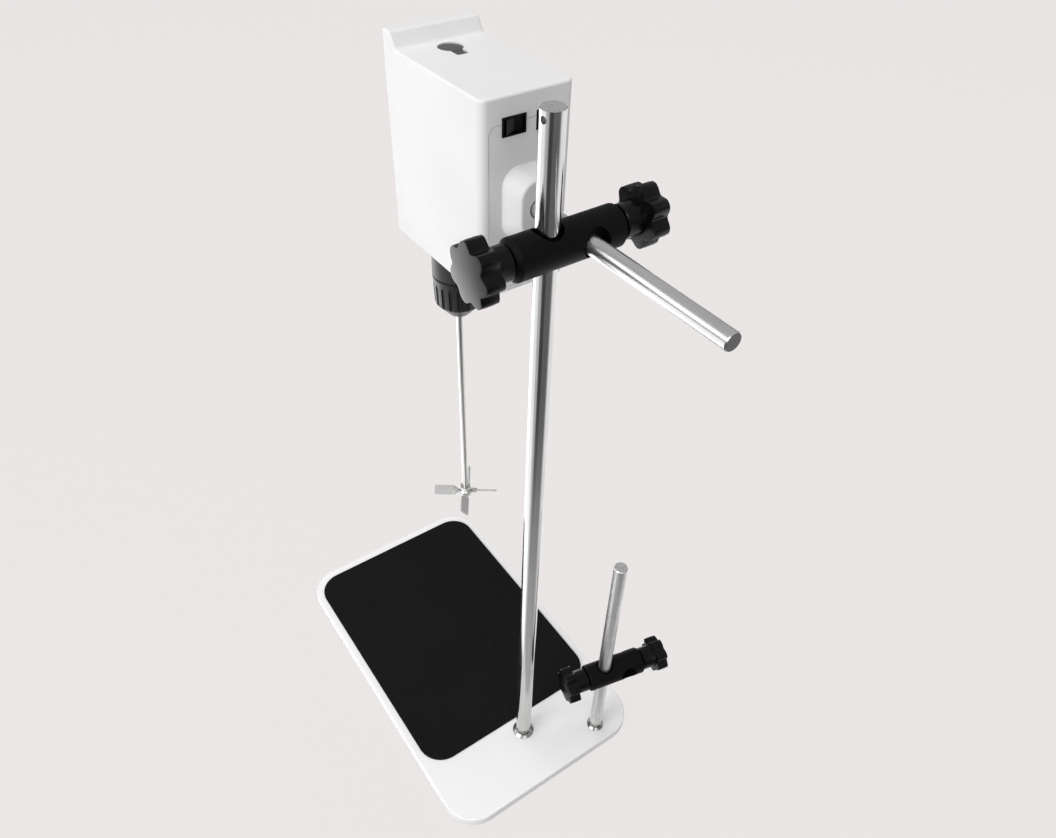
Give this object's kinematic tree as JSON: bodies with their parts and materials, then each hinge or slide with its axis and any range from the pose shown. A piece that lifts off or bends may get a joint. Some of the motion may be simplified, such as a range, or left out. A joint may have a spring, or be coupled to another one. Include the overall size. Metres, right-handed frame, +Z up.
{
  "type": "overhead stirrer",
  "caption": "Overhead laboratory stirrer: belt-driven head with chuck and propeller shaft, cross-clamped to a round column on a flat base plate with a mat and an accessory rod.",
  "frame": {"origin": "middle of the base's underside, at bench level", "axes": "+Z up along the column; the head's display side faces -Y and the column stands towards +Y"},
  "size_m": [0.2563, 0.4575, 0.7128],
  "materials": {
    "base_paint": "white powder coat, satin",
    "mat_rubber": "matt, finely speckled",
    "pad_rubber": "matt",
    "rod_steel": "ground bright along its length",
    "nut_zinc": "bright zinc plate",
    "clamp_black": "black anodised, matt",
    "knob_black": "satin",
    "pad_brass": "plain",
    "head_white": "fine satin",
    "panel_grey": "satin",
    "window_dark": "clear gloss over dark",
    "board_green": "solder mask",
    "socket_alloy": "as cast",
    "switch_black": "gloss",
    "frame_alloy": "as cast",
    "motor_paint": "satin",
    "drive_steel": "turned",
    "belt_rubber": "matt",
    "ring_grey": "satin",
    "sleeve_black": "satin",
    "shaft_steel": "polished",
    "plug_grey": "matt"
  },
  "bodies": {
    "base": {"base_pad": "pad_rubber", "base_plate": "base_paint", "base_mat": "mat_rubber", "column_nut": "nut_zinc", "column_lock_nut": "nut_zinc", "accessory_nut": "nut_zinc", "accessory_lock_nut": "nut_zinc"},
    "column": {"column": "rod_steel"},
    "clamp": {"clamp_body": "clamp_black"},
    "column_pad": {"column_pressure_pad": "pad_brass"},
    "column_knob": {"column_knob": "knob_black", "column_stud": "drive_steel"},
    "arm_pad": {"arm_pressure_pad": "pad_brass"},
    "arm_knob": {"arm_knob": "knob_black", "arm_stud": "drive_steel"},
    "arm": {"support_rod": "rod_steel"},
    "head": {"rod_socket": "socket_alloy", "head_shell": "head_white", "front_panel": "panel_grey", "display_window": "window_dark", "speed_encoder": "drive_steel", "control_board": "board_green", "rear_cover": "head_white", "cover_screws": "nut_zinc", "switch_body": "switch_black", "power_inlet": "switch_black", "inlet_pins": "nut_zinc", "drive_frame": "frame_alloy", "frame_screws": "nut_zinc", "motor_can": "motor_paint", "drive_belt": "belt_rubber", "upper_bearing": "drive_steel", "lower_bearing": "drive_steel"},
    "speed_knob": {"speed_knob": "knob_black"},
    "rocker": {"switch_rocker": "switch_black"},
    "plug": {"top_plug": "plug_grey"},
    "rotor": {"motor_rotor": "drive_steel", "motor_pulley": "drive_steel"},
    "spindle": {"spindle": "drive_steel", "spindle_pulley": "frame_alloy", "chuck_ring": "ring_grey", "chuck_body": "drive_steel"},
    "sleeve": {"chuck_sleeve": "sleeve_black"},
    "jaw_1": {"chuck_jaw_1": "drive_steel"},
    "jaw_2": {"chuck_jaw_2": "drive_steel"},
    "jaw_3": {"chuck_jaw_3": "drive_steel"},
    "stirrer": {"stirring_shaft": "shaft_steel", "propeller": "shaft_steel", "propeller_nuts": "nut_zinc"},
    "accessory_rod": {"accessory_rod": "rod_steel"},
    "small_clamp": {"small_clamp_body": "clamp_black"},
    "small_rod_pad": {"small_rod_pressure_pad": "pad_brass"},
    "small_rod_knob": {"small_rod_knob": "knob_black", "small_rod_stud": "drive_steel"},
    "small_free_pad": {"small_free_pressure_pad": "pad_brass"},
    "small_free_knob": {"small_free_knob": "knob_black", "small_free_stud": "drive_steel"}
  },
  "joints": [
    {"name": "column_swing", "type": "hinge", "parent": "base", "child": "column", "pos_m": [0, 0.1315, 0.014], "axis": [0, 0, 1], "range_deg": [-45, 90]},
    {"name": "clamp_height", "type": "slide", "parent": "column", "child": "clamp", "axis": [0, 0, 1], "range_m": [-0.15, 0.06]},
    {"name": "column_pad_slide", "type": "slide", "parent": "clamp", "child": "column_pad", "axis": [1, 0, 0], "range_m": [0, 0.003]},
    {"name": "column_knob_turn", "type": "hinge", "parent": "column_pad", "child": "column_knob", "pos_m": [0.05, 0.1315, 0.624], "axis": [1, 0, 0], "range_deg": [0, 720.2]},
    {"name": "arm_pad_slide", "type": "slide", "parent": "clamp", "child": "arm_pad", "axis": [-1, 0, 0], "range_m": [0, 0.003]},
    {"name": "arm_knob_turn", "type": "hinge", "parent": "arm_pad", "child": "arm_knob", "pos_m": [-0.0765, 0.1315, 0.624], "axis": [-1, 0, 0], "range_deg": [0, 720.2]},
    {"name": "arm_reach", "type": "slide", "parent": "clamp", "child": "arm", "axis": [0, 1, 0], "range_m": [-0.1, 0.025]},
    {"name": "head_tilt", "type": "hinge", "parent": "arm", "child": "head", "pos_m": [-0.0265, 0.0715, 0.624], "axis": [0, 1, 0], "range_deg": [-30, 30]},
    {"name": "spindle_spin", "type": "hinge", "parent": "head", "child": "spindle", "pos_m": [-0.0265, -0.0225, 0.6], "axis": [0, 0, 1], "continuous": true},
    {"name": "rotor_spin", "type": "hinge", "parent": "head", "child": "rotor", "pos_m": [-0.0265, 0.0305, 0.62], "axis": [0, 0, 1], "continuous": true},
    {"name": "shaft_slide", "type": "slide", "parent": "spindle", "child": "stirrer", "axis": [0, 0, 1], "range_m": [-0.04, 0.08]},
    {"name": "sleeve_turn", "type": "hinge", "parent": "spindle", "child": "sleeve", "pos_m": [-0.0265, -0.0225, 0.5], "axis": [0, 0, 1], "range_deg": [0, 1260.2]},
    {"name": "jaw_1_slide", "type": "slide", "parent": "spindle", "child": "jaw_1", "axis": [0.2241, 0.1294, 0.9659], "range_m": [0, 0.007]},
    {"name": "jaw_2_slide", "type": "slide", "parent": "spindle", "child": "jaw_2", "axis": [-0.2241, 0.1294, 0.9659], "range_m": [0, 0.00701]},
    {"name": "jaw_3_slide", "type": "slide", "parent": "spindle", "child": "jaw_3", "axis": [0, -0.2588, 0.9659], "range_m": [0, 0.00701]},
    {"name": "speed_knob_turn", "type": "hinge", "parent": "head", "child": "speed_knob", "pos_m": [-0.0265, -0.056, 0.6], "axis": [0, -1, 0], "continuous": true},
    {"name": "rocker_tip", "type": "hinge", "parent": "head", "child": "rocker", "pos_m": [-0.0155, 0.0695, 0.6775], "axis": [0, 0, 1], "range_deg": [-16, 0]},
    {"name": "plug_lift", "type": "slide", "parent": "head", "child": "plug", "axis": [0, 0, 1], "range_m": [0, 0.02]},
    {"name": "accessory_rod_turn", "type": "hinge", "parent": "base", "child": "accessory_rod", "pos_m": [-0.0715, 0.1708, 0.014], "axis": [0, 0, 1], "range_deg": [-90, 90]},
    {"name": "small_clamp_height", "type": "slide", "parent": "accessory_rod", "child": "small_clamp", "axis": [0, 0, 1], "range_m": [-0.08, 0.15]},
    {"name": "small_rod_pad_slide", "type": "slide", "parent": "small_clamp", "child": "small_rod_pad", "axis": [0.9781, -0.2079, 0], "range_m": [0, 0.002]},
    {"name": "small_rod_knob_turn", "type": "hinge", "parent": "small_rod_pad", "child": "small_rod_knob", "pos_m": [-0.0715, 0.1708, 0.1215], "axis": [0.9781, -0.2079, 0], "range_deg": [0, 720.2]},
    {"name": "small_free_pad_slide", "type": "slide", "parent": "small_clamp", "child": "small_free_pad", "axis": [-0.9781, 0.2079, 0], "range_m": [-0.0005, 0.0015]},
    {"name": "small_free_knob_turn", "type": "hinge", "parent": "small_free_pad", "child": "small_free_knob", "pos_m": [-0.09302, 0.17537, 0.1215], "axis": [-0.9781, 0.2079, 0], "range_deg": [-180.2, 540.2]}
  ],
  "couplings": [
    {"joint": "column_knob_turn", "follows": "column_pad_slide", "rad_per_m": 4188.8},
    {"joint": "arm_knob_turn", "follows": "arm_pad_slide", "rad_per_m": 4188.8},
    {"joint": "small_rod_knob_turn", "follows": "small_rod_pad_slide", "rad_per_m": 6283.2},
    {"joint": "small_free_knob_turn", "follows": "small_free_pad_slide", "rad_per_m": 6283.2},
    {"joint": "rotor_spin", "follows": "spindle_spin", "ratio": 1.9901},
    {"joint": "jaw_2_slide", "follows": "jaw_1_slide", "ratio": 1},
    {"joint": "jaw_3_slide", "follows": "jaw_1_slide", "ratio": 1},
    {"joint": "sleeve_turn", "follows": "jaw_1_slide", "rad_per_m": 3141.6}
  ]
}
